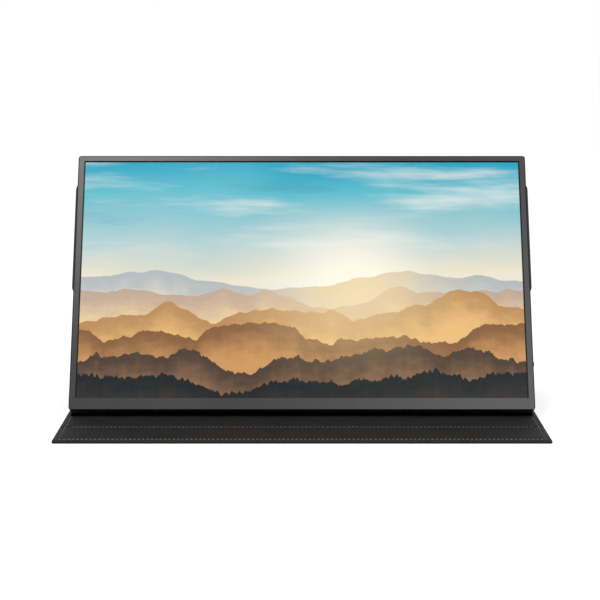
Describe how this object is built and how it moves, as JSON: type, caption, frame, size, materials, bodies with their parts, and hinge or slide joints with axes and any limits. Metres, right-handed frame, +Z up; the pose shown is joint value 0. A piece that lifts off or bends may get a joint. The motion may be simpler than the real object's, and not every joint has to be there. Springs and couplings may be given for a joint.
{
  "type": "portable monitor with folding cover",
  "caption": "Slim portable monitor leaning back on a folded cover: its base lies on the table, a strut props the back panel, and the creases fold flat.",
  "frame": {"origin": "middle of the footprint, on the table under the cover", "axes": "+X to the viewer's right across the screen, +Y from the cover's front edge to its back, +Z up from the table"},
  "size_m": [0.3604, 0.2094, 0.1946],
  "materials": {
    "bezel_metal": "satin dark grey anodised",
    "case_plastic": "fine matt texture",
    "screen_glass": "satin anti-glare front",
    "clear_plastic": "polished clear",
    "white_film": "white film",
    "tray_steel": "rolled sheet",
    "circuit_board": "solder mask",
    "chip_black": "moulded",
    "film_amber": "flexible film",
    "cable_white": "flat cable",
    "lead_black": "insulated lead",
    "pad_grey": "soft pad",
    "socket_steel": "drawn shell",
    "tongue_black": "moulded",
    "screw_steel": "blackened",
    "magnet": "nickel plated",
    "key_plastic": "satin",
    "cover_leather": "fine grain, coated",
    "cover_lining": "fine grain, coated",
    "stiff_board": "pressed fibre board"
  },
  "bodies": {
    "base": {"base_leather": "cover_leather", "base_lining": "cover_lining", "base_board": "stiff_board", "base_magnets": "magnet", "rest_rail": "cover_leather", "rear_crease": "cover_leather", "flap_crease": "cover_leather"},
    "flap": {"flap_leather": "cover_leather", "flap_lining": "cover_lining", "flap_board": "stiff_board", "flap_magnets": "magnet"},
    "strut": {"strut_leather": "cover_leather", "strut_lining": "cover_lining", "strut_board": "stiff_board", "spine_board": "stiff_board", "back_crease": "cover_leather"},
    "rear_panel": {"rear_panel_leather": "cover_leather", "rear_panel_lining": "cover_lining", "rear_panel_board": "stiff_board", "rear_panel_magnets": "magnet"},
    "monitor": {"front_bezel": "bezel_metal", "rear_case": "case_plastic", "lcd_glass": "screen_glass", "optical_films": "white_film", "light_guide": "clear_plastic", "led_strip": "circuit_board", "reflector_sheet": "white_film", "panel_tray": "tray_steel", "driver_board": "circuit_board", "driver_films": "film_amber", "main_board": "circuit_board", "processor_chip": "chip_black", "thermal_pad": "pad_grey", "small_chips": "chip_black", "data_socket_shells": "socket_steel", "data_socket_tongues": "tongue_black", "video_socket_shell": "socket_steel", "video_socket_tongue": "tongue_black", "display_cable": "cable_white", "key_switches": "chip_black", "key_board": "circuit_board", "key_cable": "cable_white", "speaker_left": "chip_black", "speaker_right": "chip_black", "speaker_leads": "lead_black", "case_screws": "screw_steel", "board_screws": "screw_steel", "case_magnets": "magnet"},
    "power_button": {"power_button": "key_plastic"},
    "brighter_key": {"brighter_key": "key_plastic"},
    "dimmer_key": {"dimmer_key": "key_plastic"}
  },
  "joints": [
    {"name": "strut_fold", "type": "hinge", "parent": "base", "child": "strut", "pos_m": [0, 0.10325, 0.0015], "axis": [-1, 0, 0], "range_deg": [0, 134.52]},
    {"name": "monitor_fold", "type": "hinge", "parent": "strut", "child": "rear_panel", "pos_m": [0, 0.021, 0.08513], "axis": [1, 0, 0], "range_deg": [0, 71.02]},
    {"name": "flap_fold", "type": "hinge", "parent": "base", "child": "flap", "pos_m": [0, -0.06115, 0.0015], "axis": [-1, 0, 0], "range_deg": [0, 90]},
    {"name": "monitor_pull", "type": "slide", "parent": "rear_panel", "child": "monitor", "axis": [0, -0.8949, 0.4462], "range_m": [0, 0.12]},
    {"name": "power_press", "type": "slide", "parent": "monitor", "child": "power_button", "axis": [-1, 0, 0], "range_m": [0, 0.00035], "stiffness_N_per_m": 1500},
    {"name": "brighter_press", "type": "slide", "parent": "monitor", "child": "brighter_key", "axis": [-1, 0, 0], "range_m": [0, 0.00035], "stiffness_N_per_m": 1500},
    {"name": "dimmer_press", "type": "slide", "parent": "monitor", "child": "dimmer_key", "axis": [-1, 0, 0], "range_m": [0, 0.00035], "stiffness_N_per_m": 1500}
  ],
  "couplings": [
    {"joint": "monitor_fold", "follows": "strut_fold", "ratio": 0.52796}
  ]
}
